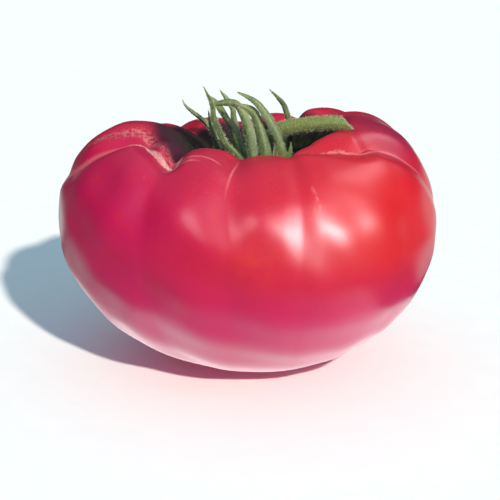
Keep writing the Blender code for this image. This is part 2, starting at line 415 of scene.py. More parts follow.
# The third and the fourth are a little shallower than in the solid, which keeps the gloss whole there.
VALLEYS = (
    Valley(231.0, 236.0, 14.0, 2.8, 1.4),
    Valley(263.0, 261.0, 10.0, 1.5, 0.9),
    Valley(288.0, 281.5, 6.0, 1.0, 0.3),
    Valley(310.0, 301.0, 9.0, 0.12, 0.1),
    Valley(332.0, 320.0, 12.0, 0.2, 0.6),
    Valley(4.0, 4.0, 26.0, 1.0, 4.0),
    Valley(18.0, 16.0, 13.0, 0.9, 1.6),
    Valley(40.0, 38.0, 14.0, 1.6, 1.2),
    Valley(68.0, 66.0, 15.0, 3.0, 1.3),
    Valley(97.0, 94.0, 15.0, 2.2, 1.0),
    Valley(127.0, 124.0, 15.0, 3.0, 1.3),
    Valley(156.0, 153.0, 14.0, 2.4, 0.9),
)

CREASES = (
    Crease(7.0, (
        (1.50, 226.0, 1.5), (1.80, 225.0, 3.5), (1.96, 226.0, 4.0), (2.09, 229.0, 3.8), (2.20, 234.0, 3.2),
        (2.15, 226.0, 3.2), (2.10, 216.0, 3.4), (2.06, 207.0, 3.4), (2.15, 201.0, 3.0), (2.38, 196.0, 2.5),
        (2.58, 190.0, 1.9), (2.69, 181.0, 1.2), (2.76, 171.0, 0.6), (2.79, 163.0, 0.0),
    )),
    Crease(4.5, (
        (1.95, 224.0, 1.4), (1.96, 211.0, 1.4), (1.99, 197.0, 1.4), (2.10, 189.0, 1.3), (2.34, 185.0, 0.8),
        (2.80, 182.0, 0.0),
    )),
    Crease(7.5, (
        (1.50, 291.0, 1.0), (1.85, 292.0, 2.4), (1.99, 297.0, 3.0), (2.08, 308.0, 3.0), (2.22, 318.0, 2.8),
        (2.24, 327.0, 2.6), (2.36, 334.0, 2.4), (2.60, 342.0, 1.8), (2.82, 349.0, 1.0), (3.12, 355.0, 0.0),
    )),
    Crease(7.0, (
        (1.5, 68.0, 1.0), (1.95, 68.0, 2.5), (2.3, 66.0, 1.8), (2.8, 65.0, 0.6), (3.2, 65.0, 0.0),
    )),
    Crease(7.0, (
        (1.5, 128.0, 1.0), (1.95, 128.0, 2.8), (2.3, 125.0, 2.0), (2.8, 123.0, 0.8), (3.3, 123.0, 0.0),
    )),
)

MARKS = (
    Mark(MarkKind.CORK, (
        (2.02, 231.0, 1.2, 0.6), (2.10, 235.0, 1.2, 0.9), (2.20, 235.5, 0.9, 1.0), (2.17, 230.0, 1.3, 1.0),
        (2.12, 223.0, 1.3, 1.0), (2.09, 214.0, 0.9, 1.0), (2.07, 206.0, 0.6, 0.9), (2.12, 201.0, 0.5, 0.5),
        (2.20, 199.0, 0.5, 0.0),
    )),
    # Along the left lobe's fold: a painted highlight in scar colour, the pale streak that light makes on
    # the fold's edge, not a scar.
    Mark(MarkKind.SCAR_AND_HIGHLIGHT, (
        (2.07, 206.0, 0.7, 0.2), (2.14, 201.5, 0.9, 0.5), (2.24, 199.0, 1.0, 0.5), (2.38, 196.0, 1.4, 0.6),
        (2.58, 190.0, 2.0, 0.75), (2.69, 181.0, 2.0, 0.7), (2.76, 170.0, 1.4, 0.0),
    )),
    Mark(MarkKind.SCAR_AND_HIGHLIGHT, (
        (2.21, 236.5, 0.6, 1.0), (2.21, 240.0, 0.5, 0.9), (2.19, 244.5, 0.4, 0.7), (2.19, 249.0, 0.3, 0.0),
    )),
    Mark(MarkKind.SCAR_AND_HIGHLIGHT, (
        (2.16, 238.5, 0.5, 1.0), (2.14, 243.5, 0.4, 0.9), (2.13, 249.0, 0.4, 0.8), (2.15, 254.0, 0.35, 0.8),
        (2.18, 257.5, 0.3, 0.0),
    )),
    Mark(MarkKind.SCAR_AND_HIGHLIGHT, (
        (2.02, 263.5, 0.3, 0.2), (2.08, 263.0, 0.4, 0.4), (2.20, 261.5, 0.4, 0.75),
        (2.34, 260.3, 0.35, 0.5), (2.48, 259.5, 0.3, 0.0),
    )),
    Mark(MarkKind.SCAR_AND_HIGHLIGHT, (
        (2.18, 315.0, 0.6, 0.6), (2.25, 319.5, 0.7, 1.0), (2.27, 324.0, 0.7, 1.0), (2.28, 329.0, 0.6, 0.8),
        (2.36, 334.5, 0.6, 0.6), (2.50, 339.0, 0.6, 0.5), (2.66, 344.0, 0.6, 0.4), (2.86, 350.0, 0.5, 0.0),
    )),
    Mark(MarkKind.GOLD, (
        (2.50, 182.0, 1.2, 0.0), (2.34, 186.0, 2.0, 0.6), (2.16, 189.0, 2.4, 0.8), (2.03, 193.0, 2.4, 0.9),
        (1.98, 203.0, 2.2, 0.9), (1.99, 215.0, 2.2, 0.9), (2.02, 225.0, 2.3, 1.0), (2.09, 232.0, 2.2, 1.0),
    )),
    Mark(MarkKind.GOLD, (
        (1.92, 292.0, 0.8, 0.3), (2.00, 296.0, 1.0, 0.7), (2.05, 301.0, 1.0, 0.9), (2.10, 310.0, 1.0, 0.9),
        (2.18, 315.0, 0.8, 0.9), (2.25, 319.5, 0.6, 0.4),
    )),
    Mark(MarkKind.GOLD, (
        (2.40, 288.5, 0.4, 0.0), (2.48, 289.0, 0.6, 0.5), (2.60, 289.3, 0.6, 0.45), (2.74, 288.5, 0.5, 0.0),
    )),
    Mark(MarkKind.GOLD, (
        (1.9, 68.0, 1.0, 0.6), (2.1, 67.5, 0.9, 1.0), (2.4, 66.0, 0.7, 0.7), (2.8, 65.0, 0.5, 0.0),
    )),
    Mark(MarkKind.GOLD, (
        (1.9, 128.0, 1.0, 0.6), (2.1, 127.5, 0.9, 1.0), (2.4, 125.0, 0.7, 0.7), (2.9, 123.0, 0.5, 0.0),
    )),
    Mark(MarkKind.SCAR_AND_HIGHLIGHT, (
        (2.05, 98.0, 0.4, 0.5), (2.2, 97.0, 0.4, 0.8), (2.4, 95.5, 0.35, 0.5), (2.55, 94.5, 0.3, 0.0),
    )),
    Mark(MarkKind.SCAR_AND_HIGHLIGHT, (
        (2.05, 157.0, 0.4, 0.5), (2.2, 156.0, 0.4, 0.8), (2.45, 154.0, 0.35, 0.5), (2.6, 153.0, 0.3, 0.0),
    )),
    Mark(MarkKind.SCAR_AND_HIGHLIGHT, (
        (2.1, 22.0, 0.4, 0.0), (2.2, 27.0, 0.4, 0.7), (2.22, 33.0, 0.4, 0.8), (2.18, 39.0, 0.3, 0.0),
    )),
)


def through(points: tuple, steps: int) -> np.ndarray:
    """A Catmull-Rom line through points of any number of parts.

    Args:
        points: The points.
        steps: Steps in each span.

    Returns:
        The line's points, one row each.
    """
    given = np.array(points, dtype=float)
    padded = np.concatenate((given[:1], given, given[-1:]))
    share = (np.arange(steps) / steps)[:, None]
    spans = []
    for before, start, end, after in zip(padded, padded[1:], padded[2:], padded[3:]):
        slope = end - before
        bend = 2.0 * before - 5.0 * start + 4.0 * end - after
        twist = 3.0 * start - before - 3.0 * end + after
        spans.append(start + 0.5 * (slope * share + bend * share**2 + twist * share**3))
    return np.concatenate((*spans, given[-1:]))


def unit(vectors: np.ndarray) -> np.ndarray:
    """The vectors made one long, with zero vectors left as they are.

    Args:
        vectors: Vectors along the last axis.

    Returns:
        Unit vectors.
    """
    length = np.linalg.norm(vectors, axis=-1, keepdims=True)
    return vectors / np.where(length > 1e-12, length, 1.0)


def eased(value: np.ndarray, low: float, high: float) -> np.ndarray:
    """A smooth step.

    Args:
        value: What is stepped over.
        low: Where the step is 0. It may be the larger of the two.
        high: Where the step is 1.

    Returns:
        0 to 1, eased at both ends.
    """
    share = np.clip((value - low) / (high - low), 0.0, 1.0)
    return share * share * (3.0 - 2.0 * share)


@dataclass(frozen=True)
class FruitForm:
    """The rule of the fruit's skin, in millimetres and degrees, as its solid has it."""

    base_axis_x: float = 4.2
    reach_left: float = 66.0
    reach_right: float = 58.3
    reach_deep: float = 54.0
    equator_height: float = 50.0
    crest_centre_x: float = 1.0
    crest_reach: tuple[float, float] = (34.5, 27.0)
    crest_heights: tuple[tuple[float, float], ...] = (
        (0.0, 83.4), (45.0, 80.2), (95.0, 75.0), (140.0, 75.8), (180.0, 80.9), (208.0, 79.7),
        (248.0, 79.2), (264.0, 77.3), (278.0, 77.5), (298.0, 79.9), (325.0, 82.2),
    )
    hollow_x: float = 5.0
    floor_radius: float = 9.0
    floor_height: float = 60.0
    rest_sink: float = 1.0
    rest_softness: float = 0.8
    dimple_radius: float = 4.8
    dimple_depth: float = 1.1
    valleys: tuple[Valley, ...] = VALLEYS
    creases: tuple[Crease, ...] = CREASES
    cusp_share: float = 0.6
    cusp_rounding: float = 0.1
    fold_share: float = 0.45
    crease_margin: float = 6.0
    path_steps: int = 6

    def crest_height(self, azimuth: np.ndarray) -> np.ndarray:
        """Height of the crest.

        Args:
            azimuth: Azimuths.

        Returns:
            Heights, eased from one entry of the table to the next.
        """
        starts, heights = np.array(self.crest_heights).T
        turn = np.mod(azimuth, 360.0)
        index = np.searchsorted(starts, turn, side="right") - 1
        ends = np.append(starts[1:], starts[0] + 360.0)
        share = (turn - starts[index]) / (ends[index] - starts[index])
        ease = 0.5 - 0.5 * np.cos(math.pi * share)
        return heights[index] + (np.roll(heights, -1)[index] - heights[index]) * ease

    def smooth(self, station: np.ndarray, azimuth: np.ndarray) -> np.ndarray:
        """Points of the skin before its valleys and creases are pressed in.

        Args:
            station: Stations.
            azimuth: Azimuths, in an array of the same shape.

        Returns:
            Points along the last axis.
        """
        angle = np.radians(azimuth)
        round_about = np.stack((np.cos(angle), np.sin(angle)), axis=-1)
        middle = np.array((self.hollow_x, 0.0))
        base = np.array((self.base_axis_x, 0.0))
        floor = middle + self.floor_radius * round_about
        crest = np.array((self.crest_centre_x, 0.0)) + np.array(self.crest_reach) * round_about
        reach = np.where(round_about[..., 0] > 0.0, self.reach_right, self.reach_left)
        equator = base + np.stack((reach, np.full_like(reach, self.reach_deep)), axis=-1) * round_about
        crest_height = self.crest_height(azimuth)
        down = np.clip(2.0 - station, 0.0, 1.0)
        shoulder = np.radians(90.0 * np.clip(station - 2.0, 0.0, 1.0))
        side = np.radians(90.0 * np.clip(station - 3.0, 0.0, 1.0))
        fall = down**2 * (1.0 + 2.0 * down - 2.0 * down**2)
        inner = np.clip(station, 0.0, 1.0)[..., None]
        plans = (
            middle + (floor - middle) * inner,
            crest + (floor - crest) * down[..., None],
            crest + (equator - crest) * np.sin(shoulder)[..., None],
        )
        heights = (
            np.full_like(station, self.floor_height),
            crest_height + (self.floor_height - crest_height) * fall,
            self.equator_height + (crest_height - self.equator_height) * np.cos(shoulder),
        )
        legs = (station <= 1.0, station <= 2.0, station <= 3.0)
        underside = base + (equator - base) * np.cos(side)[..., None]
        low = self.equator_height - (self.equator_height + self.rest_sink) * np.sin(side)
        plan = np.select([leg[..., None] for leg in legs], plans, underside)
        return np.concatenate((plan, np.select(legs, heights, low)[..., None]), axis=-1)

    def valley_depth(self, station: np.ndarray, azimuth: np.ndarray) -> np.ndarray:
        """How deep the valleys press the skin in.

        Args:
            station: Stations.
            azimuth: Azimuths.

        Returns:
            Depths.
        """
        outward = np.clip(station - 2.0, 0.0, 1.0)
        fade = np.clip(1.0 - (station - 3.0) / 0.8, 0.0, 1.0) ** 1.2
        depth = np.zeros_like(station)
        for valley in self.valleys:
            centre = valley.side + (valley.rim - valley.side) * (1.0 - outward) ** 1.5
            aside = np.abs(np.mod(azimuth - centre + 180.0, 360.0) - 180.0) / valley.half_width
            inner = valley.rim_depth * (0.25 + 0.75 * np.clip(station - 1.0, 0.0, 1.0) ** 1.5)
            outer = valley.side_depth + (valley.rim_depth - valley.side_depth) * (1.0 - outward) ** 1.4
            along = np.where(station < 2.0, inner, outer)
            along = np.where(station > 3.0, along * fade, along) * np.clip(station, 0.0, 1.0)
            soft = np.cos(0.5 * math.pi * np.clip(aside, 0.0, 1.0)) ** 2
            cusp = (1.0 - np.clip(np.hypot(aside, self.cusp_rounding), 0.0, 1.0)) ** 2
            depth += along * ((1.0 - self.cusp_share) * soft + self.cusp_share * cusp)
        return depth

    def spans(self, line: np.ndarray, places: np.ndarray, reach: float) -> Iterator[tuple[np.ndarray, ...]]:
        """Steps along a line on the smooth skin, each with the points that lie near it.

        Args:
            line: Rows of station, azimuth and any other values.
            places: Points of the smooth skin, one row each.
            reach: How far from a step's start a point may lie.

        Yields:
            The near points' numbers, their offsets from the step, its run, and the line's values there.
        """
        points = self.smooth(line[:, 0], line[:, 1])
        for start, end, first, last in zip(points, points[1:], line, line[1:]):
            near = np.flatnonzero(np.linalg.norm(places - start, axis=1) < reach)
            run = end - start
            offset = places[near] - start
            share = np.clip(offset @ run / (run @ run), 0.0, 1.0)[:, None]
            yield near, offset - share * run, run, first + (last - first) * share

    def crease_depth(self, places: np.ndarray) -> np.ndarray:
        """How deep the creases press the skin in.

        Args:
            places: Points of the smooth skin, one row each.

        Returns:
            Depths.
        """
        total = np.zeros(len(places))
        for crease in self.creases:
            line = through(crease.path, self.path_steps)
            line[:, 2] = np.clip(line[:, 2], 0.0, None)
            deepest = np.zeros(len(places))
            for near, offset, _, values in self.spans(line, places, crease.half_width + self.crease_margin):
                away = np.clip(np.linalg.norm(offset, axis=1) / crease.half_width, 0.0, 1.0)
                soft = 0.5 + 0.5 * np.cos(math.pi * away)
                sharp = (1.0 - away) ** 2
                pressed = values[:, 2] * ((1.0 - self.fold_share) * soft + self.fold_share * sharp)
                deepest[near] = np.maximum(deepest[near], pressed)
            total += deepest
        return total

    def normals(self, station: np.ndarray, azimuth: np.ndarray) -> np.ndarray:
        """Outward directions of the smooth skin.

        Args:
            station: Stations.
            azimuth: Azimuths.

        Returns:
            Unit vectors along the last axis, zero at the two poles.
        """
        step, turn = 0.002, 0.2
        above = self.smooth(np.clip(station - step, 0.0, None), azimuth)
        below = self.smooth(np.clip(station + step, None, 4.0), azimuth)
        around = self.smooth(station, azimuth + turn) - self.smooth(station, azimuth - turn)
        return unit(np.cross(below - above, around))

    def rested(self, points: np.ndarray) -> np.ndarray:
        """The underside pressed flat where it meets the table, with its blossom dimple.

        Args:
            points: Points of the skin, one row each.

        Returns:
            The points on the table.
        """
        height = points[:, 2]
        soft = height**2 * (2.0 * self.rest_softness - height) / self.rest_softness**2
        pressed = np.where(height < self.rest_softness, soft, height)
        pressed = np.where(height <= 0.0, 0.0, pressed)
        aside = np.hypot(points[:, 0] - self.base_axis_x, points[:, 1]) / self.dimple_radius
        dimple = self.dimple_depth * (1.0 - np.clip(aside, 0.0, 1.0) ** 2) ** 2
        low = height < self.equator_height / 2.0
        return np.column_stack((points[:, :2], pressed + np.where(low, dimple, 0.0)))


def nearest_mark(
    form: FruitForm, marks: list[Mark], places: np.ndarray, normals: np.ndarray
) -> tuple[np.ndarray, np.ndarray]:
    """How the skin's points lie to the nearest of some marks.

    Args:
        form: The skin's rule.
        marks: Marks of one kind.
        places: Points of the smooth skin, one row each.
        normals: Outward directions there.

    Returns:
        Signed distance as a share of the mark's half-width, and the mark's strength.
    """
    far, margin = 6.0, 4.0
    fade_start, fade_end = 2.5, 5.5
    best = np.full(len(places), far)
    aside = np.full(len(places), far)
    strength = np.zeros(len(places))
    for mark in marks:
        line = through(mark.path, form.path_steps)
        for near, offset, run, values in form.spans(line, places, far + margin):
            away = np.linalg.norm(offset, axis=1)
            closer = away < best[near]
            chosen = near[closer]
            side = np.sign(np.einsum("ij,ij->i", np.cross(run, offset), normals[near]))
            best[chosen] = away[closer]
            aside[chosen] = (side * away / values[:, 2])[closer]
            strength[chosen] = values[closer, 3]
    return aside, np.clip(strength, 0.0, 1.0) * eased(best, fade_end, fade_start)


def make_object(
    name: str,
    points: np.ndarray,
    faces: list[tuple[int, ...]],
    values: dict[str, np.ndarray],
    material: bpy.types.Material,
) -> bpy.types.Object:
    """Writes a mesh, in metres and in its place, and links an object that holds it.

    Args:
        name: The object's name.
        points: Its points in millimetres, one row each.
        faces: Its faces as point numbers.
        values: Values carried on the points, by name.
        material: Its material.

    Returns:
        The object, smooth and with its faces turned outwards.
    """
    mesh = bpy.data.meshes.new(name)
    mesh.from_pydata(((points + BOX_OFFSET) * MM).tolist(), [], faces)
    for key, column in values.items():
        mesh.attributes.new(key, "FLOAT", "POINT").data.foreach_set("value", column.astype(np.float32))
    shape = bmesh.new()
    shape.from_mesh(mesh)
    bmesh.ops.recalc_face_normals(shape, faces=shape.faces)
    shape.to_mesh(mesh)
    shape.free()
    mesh.shade_smooth()
    mesh.materials.append(material)
    return linked(name, mesh)


def tube_faces(rows: int, sides: int, first: int = 0) -> list[tuple[int, ...]]:
    """Faces of a closed tube of rings, with a point after them at each end.

    Args:
        rows: Number of rings.
        sides: Points in a ring.
        first: Number of the first point.

    Returns:
        The faces. The start's middle point comes after the rings, then the end's.
    """
    start, end = first + rows * sides, first + rows * sides + 1
    faces = []
    for side in range(sides):
        beside = (side + 1) % sides
        for row in range(rows - 1):
            low, high = first + row * sides, first + (row + 1) * sides
            faces.append((low + side, low + beside, high + beside, high + side))
        faces.append((start, first + beside, first + side))
        last = first + (rows - 1) * sides
        faces.append((end, last + side, last + beside))
    return faces


@dataclass(frozen=True)
class SkinFinish:
    """Thin waxy skin over ripe flesh, with its cork, its scars and its flecks, and with painted shade,
    painted shadow, a painted highlight and painted floor reflection.
    """

    crimson: Colour = paint(178, 8, 48)
    # Magenta: the skin's own tone on the left lobe, with the cool shade of the side away from the key light
    # painted in.
    magenta: Colour = paint(174, 4, 72)
    red: Colour = paint(190, 12, 24)
    orange: Colour = paint(188, 40, 26)
    # Lilac below the equator: partly the skin's own tone, partly a painted reflection of the pale floor.
    lilac: Colour = paint(178, 14, 86)
    fleck: Colour = paint(206, 104, 96)
    gold: Colour = paint(212, 128, 126)
    cork: Colour = paint(198, 136, 132)
    cork_light: Colour = paint(224, 180, 170)
    # Scar colour, also laid along the left lobe's fold as a painted highlight.
    scar: Colour = paint(222, 118, 124)
    # Plum: a painted shadow across the top of the right lobe, beside the stem.
    plum_shadow: Colour = paint(128, 10, 62)
    # Painted shade in the hollow: dark maroon on the upper wall, the cork's green darkened, and near black
    # deep towards the stem.
    painted_wall_shade: Colour = paint(56, 12, 34)
    hollow: Colour = paint(32, 40, 22)
    painted_deep_shade: Colour = paint(10, 14, 8)
    # The left blot lays the magenta, which is partly painted shade.
    left_lobe: Point = (-48.0, -34.0, 56.0)
    left_reach: float = 66.0
    right_lobe: Point = (44.0, -34.0, 58.0)
    right_reach: float = 56.0
    # Middle and reach of the painted shadow on the right lobe's top.
    far_shadow_centre: Point = (46.0, -6.0, 80.0)
    far_shadow_reach: float = 26.0
    streak: Point = (2.5, -52.0, 53.0)
    streak_reach: float = 13.0
    cloud_size: float = 24.0
    patch_size: float = 11.0
    mottle_size: float = 4.0
    stipple_size: float = 0.55
    gloss: float = 0.4
    healed_roughness: float = 0.4
    coat: float = 0.4
    peel_share: float = 0.035
    cork_share: float = 0.4
    relief_depth: float = 0.5

    def ground(self, tree: Tree) -> Socket:
        """The skin's colour before any mark: its own tones, with painted shade in the left lobe's magenta
        and a painted shadow on the right lobe's top.

        Args:
            tree: The material's tree.

        Returns:
            The colour.
        """
        lobes = 0.55 + 0.9 * tree.noise(self.cloud_size, 3.0)
        mottle = tree.noise(self.mottle_size, 3.0)
        stipple = tree.noise(self.stipple_size)
        streak = tree.blot(self.streak, self.streak_reach) * mottle.eased(0.3, 0.6)
        return tree.layered(
            self.crimson,
            # Left lobe's magenta: skin tone and painted shade.
            ((tree.blot(self.left_lobe, self.left_reach) * lobes).clamped(), self.magenta),
            ((tree.blot(self.right_lobe, self.right_reach) * lobes).clamped(), self.red),
            # Painted shadow on the right lobe's top.
            (tree.blot(self.far_shadow_centre, self.far_shadow_reach) * 0.75, self.plum_shadow),
            (streak * 0.6, self.orange),
            (mottle.eased(0.5, 0.75) * 0.3, self.red),
            (stipple.eased(0.5, 0.8) * 0.35, self.orange),
        )

    def flecks(self, tree: Tree, station: Value) -> Value:
        """Where the skin shows pale flecks, fine ones in patches and a few larger ones.

        Args:
            tree: The material's tree.
            station: The skin's station.

        Returns:
            0 to 1.
        """
        patches = tree.noise(self.patch_size).eased(0.42, 0.62)
        shoulder = station.eased(3.1, 2.1)
        fine = tree.dots(pitch=0.62, radius=0.26, share=0.5) * patches * (0.15 + 0.85 * shoulder)
        return fine + tree.dots(pitch=3.4, radius=0.42, share=0.16) * 1.4 * shoulder

    def mark(self, tree: Tree, kind: MarkKind, rough: float) -> Value:
        """Where the marks of one kind show.

        Args:
            tree: The material's tree.
            kind: The marks' kind.
            rough: How far noise breaks their edges.

        Returns:
            0 to 1.
        """
        aside = abs(tree.carried(f"{kind.value}_aside"))
        grain = tree.noise(0.8, 3.0) - 0.5
        return (aside + grain * rough).eased(1.3, 0.4) * tree.carried(f"{kind.value}_strength")

    def painted_hollow_shade(self, tree: Tree, station: Value) -> Socket:
        """Colour of the hollow, with shade painted in: a dark maroon painted shade under the crest, then
        towards the stem the cork's green darkened by painted shade and grained with near black.

        Args:
            tree: The material's tree.
            station: The skin's station.

        Returns:
            The colour.
        """
        grain = tree.noise(1.3, 4.0, stretch=(1.0, 1.0, 0.3))
        deep = tree.mix(grain.eased(0.38, 0.62), self.hollow, self.painted_deep_shade)
        return tree.mix((station + (grain - 0.5) * 0.5).eased(1.45, 1.85), deep, self.painted_wall_shade)

    def material(self) -> bpy.types.Material:
        """The finished material. The mesh carries station, hollow and its place to each kind of mark."""
        fixed = {
            "Subsurface Weight": 0.1,
            "Subsurface Radius": (1.0, 0.2, 0.2),
            "Subsurface Scale": 2.0 * MM,
            "Coat Roughness": 0.33,
            "IOR": 1.45,
            "Specular IOR Level": 0.2,
        }
        material, tree, shader = new_material("tomato_skin", fixed)
        station, hollow = tree.carried("station"), tree.carried("hollow")
        grain = tree.noise(0.6, 4.0)
        broken = tree.noise(1.1, 3.0).eased(0.38, 0.6)
        gold = self.mark(tree, MarkKind.GOLD, rough=1.6) * broken
        cork = self.mark(tree, MarkKind.CORK, rough=1.2)
        scar = self.mark(tree, MarkKind.SCAR_AND_HIGHLIGHT, rough=0.6)
        healed = (cork + gold * 0.8 + scar * 0.4 + hollow).clamped()
        relief = tree.noise(0.5) * self.peel_share + healed * (0.3 + 0.7 * grain) * self.cork_share
        colour = tree.layered(
            self.ground(tree),
            # Below the equator: skin tone with a painted floor reflection.
            (station.eased(2.95, 3.3) * 0.85, self.lilac),
            (self.flecks(tree, station) * 0.35, self.fleck),
            # Scars, and the painted highlight along the left lobe's fold.
            (scar * 0.7, self.scar),
            (gold * 0.75, self.gold),
            (cork * 0.9, tree.mix(grain.eased(0.4, 0.65), self.cork, self.cork_light)),
            # The hollow's cork under its painted shade.
            (hollow, self.painted_hollow_shade(tree, station)),
        )
        tree.feed(shader.inputs["Base Color"], colour)
        tree.feed(shader.inputs["Roughness"], self.gloss + self.healed_roughness * healed)
        tree.feed(shader.inputs["Coat Weight"], self.coat - self.coat * healed)
        tree.feed(shader.inputs["Normal"], tree.bumped(relief, self.relief_depth))
        return material


@dataclass
class Fruit:
    """The fruit's skin, one closed mesh that stands for its solid."""

    form: FruitForm
    finish: SkinFinish
    marks: tuple[Mark, ...] = MARKS
    front: tuple[float, float] = (186.0, 346.0)
    front_columns: int = 258
    back_columns: int = 182
    rings: tuple[int, int, int, int] = (6, 44, 100, 60)
    crest_crowding: float = 0.4
    swell: float = 0.16
    waves: tuple[Wave, ...] = ((0.31, 0.17, 0.23, 0.4), (-0.19, 0.29, 0.13, 1.9), (0.11, -0.21, 0.37, 3.1))
    wrinkle: float = 0.25
    # Station, by azimuth, where the hollow's cork and its painted shade begin.
    hollow_edges: tuple[tuple[float, float], ...] = (
        (0.0, 1.78), (60.0, 1.84), (140.0, 1.93), (190.0, 1.92), (228.0, 2.03), (250.0, 1.8), (300.0, 1.75),
    )

    def stations(self) -> np.ndarray:
        """Station of each ring, without the two poles."""
        legs = []
        for start, rings in enumerate(self.rings):
            share = np.arange(rings) / rings
            if start == 2:
                share = (1.0 - self.crest_crowding) * share + self.crest_crowding * share**2
            legs.append(start + share)
        return np.concatenate(legs)[1:]

    def azimuths(self) -> np.ndarray:
        """Azimuth of each column, closer together in front."""
        low, high = self.front
        front = np.linspace(low, high, self.front_columns, endpoint=False)
        back = np.linspace(high, low + 360.0, self.back_columns, endpoint=False)
        return np.concatenate((front, back))

    def relief(self, places: np.ndarray, station: np.ndarray, azimuth: np.ndarray) -> np.ndarray:
        """Fine rise and fall of the skin that the solid leaves out.

        Args:
            places: Points of the smooth skin.
            station: Their stations.
            azimuth: Their azimuths.

        Returns:
            Heights above the skin.
        """
        height = np.zeros(len(places))
        for *direction, start in self.waves:
            height += np.sin(places @ np.array(direction) + start)
        height *= self.swell * eased(station, 4.0, 3.4) * eased(station, 1.9, 2.2)
        turn = np.radians(azimuth)
        folds = np.sin(23.0 * turn + 2.0 * np.sin(5.0 * turn)) + 0.6 * np.sin(37.0 * turn + 1.0)
        inside = eased(station, 0.5, 1.0) * eased(station, 1.95, 1.5)
        return height + self.wrinkle * folds * inside

    def hollow(self, station: np.ndarray, azimuth: np.ndarray) -> np.ndarray:
        """How far the skin has turned to the hollow's cork and its painted shade.

        Args:
            station: Stations.
            azimuth: Azimuths.

        Returns:
            0 on the skin and 1 in the hollow.
        """
        turns, edges = np.array(self.hollow_edges).T
        edge = np.interp(np.mod(azimuth, 360.0), turns, edges, period=360.0)
        return eased(station, edge + 0.08, edge - 0.12)

    def build(self) -> bpy.types.Object:
        """Makes, dresses and registers the fruit.

        Returns:
            The fruit's object.
        """
        rings, columns = self.stations(), self.azimuths()
        station = np.concatenate((np.repeat(rings, len(columns)), (0.0, 4.0)))
        azimuth = np.concatenate((np.tile(columns, len(rings)), (0.0, 0.0)))
        places = self.form.smooth(station, azimuth)
        normals = self.form.normals(station, azimuth)
        pressed = self.form.valley_depth(station, azimuth) + self.form.crease_depth(places)
        raised = self.relief(places, station, azimuth) - pressed
        points = self.form.rested(places + normals * raised[:, None])
        values = {"station": station, "hollow": self.hollow(station, azimuth)}
        for kind in MarkKind:
            marks = [mark for mark in self.marks if mark.kind is kind]
            aside, strength = nearest_mark(self.form, marks, places, normals)
            values[f"{kind.value}_aside"] = aside
            values[f"{kind.value}_strength"] = strength
        faces = tube_faces(len(rings), len(columns))
        fruit = make_object("tomato_skin", points, faces, values, self.finish.material())
        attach(fruit, "root")
        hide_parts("fruit")
        return fruit


@dataclass(frozen=True)
class GreenFinish:
    """Downy green of the sepals and of the stem, duller towards the tips."""

    name: str
    leaf: Colour = paint(76, 98, 42)
    light: Colour = paint(112, 128, 58)
    dark: Colour = paint(34, 52, 24)
    bloom: Colour = paint(104, 130, 92)
    base: Colour = paint(108, 112, 40)
    dry: Colour = paint(128, 112, 70)
    cut: Colour = paint(176, 146, 108)
    pith: Colour = paint(150, 158, 100)
    relief_depth: float = 0.22

    def material(self) -> bpy.types.Material:
        """The finished material. The mesh carries reach, middle and cut."""
        fixed = {
            "Sheen Weight": 0.5,
            "Sheen Roughness": 0.35,
            "Sheen Tint": paint(196, 218, 206),
            "Coat Roughness": 0.4,
        }
        material, tree, shader = new_material(self.name, fixed)
        reach, cut = tree.carried("reach"), tree.carried("cut")
        streaks = tree.noise(0.7, 3.0, stretch=(1.0, 1.0, 0.22))
        cloud = tree.noise(4.0, 3.0)
        fuzz = tree.noise(0.35)
        colour = tree.layered(
            self.leaf,
            (cloud.eased(0.32, 0.68) * 0.8, self.light),
            (reach.eased(0.42, 0.1) * 0.7, self.base),
            (streaks.eased(0.46, 0.7) * 0.55, self.dark),
            (fuzz.eased(0.5, 0.72) * 0.45, self.bloom),
            (tree.carried("middle") * 0.3, self.light),
            (reach.eased(0.9, 1.0) * 0.6, self.dry),
            (cut.eased(0.3, 0.9), tree.mix(cut.eased(1.9, 1.2), self.cut, self.pith)),
        )
        tree.feed(shader.inputs["Base Color"], colour)
        tree.feed(shader.inputs["Roughness"], 0.55 + 0.2 * streaks)
        relief = streaks * 0.6 + fuzz * 0.4
        tree.feed(shader.inputs["Normal"], tree.bumped(relief, self.relief_depth))
        return material


@dataclass(frozen=True)
class HairFinish:
    """Pale, glassy hairs."""

    hair: Colour = paint(186, 200, 150)
    tip: Colour = paint(224, 226, 200)

    def material(self) -> bpy.types.Material:
        """The finished material."""
        fixed = {"Roughness": 0.45, "Subsurface Weight": 0.1, "Subsurface Scale": 0.3 * MM}
        material, tree, shader = new_material("green_down", fixed)
        shade = tree.noise(1.5, 1.0).eased(0.3, 0.7)
        tree.feed(shader.inputs["Base Color"], tree.mix(shade, self.hair, self.tip))
        return material


@dataclass(frozen=True)
class Sepal:
    """A strap-shaped sepal: its widest width, and points along its middle from disc to tip."""

    width: float
    path: tuple[Point, ...]


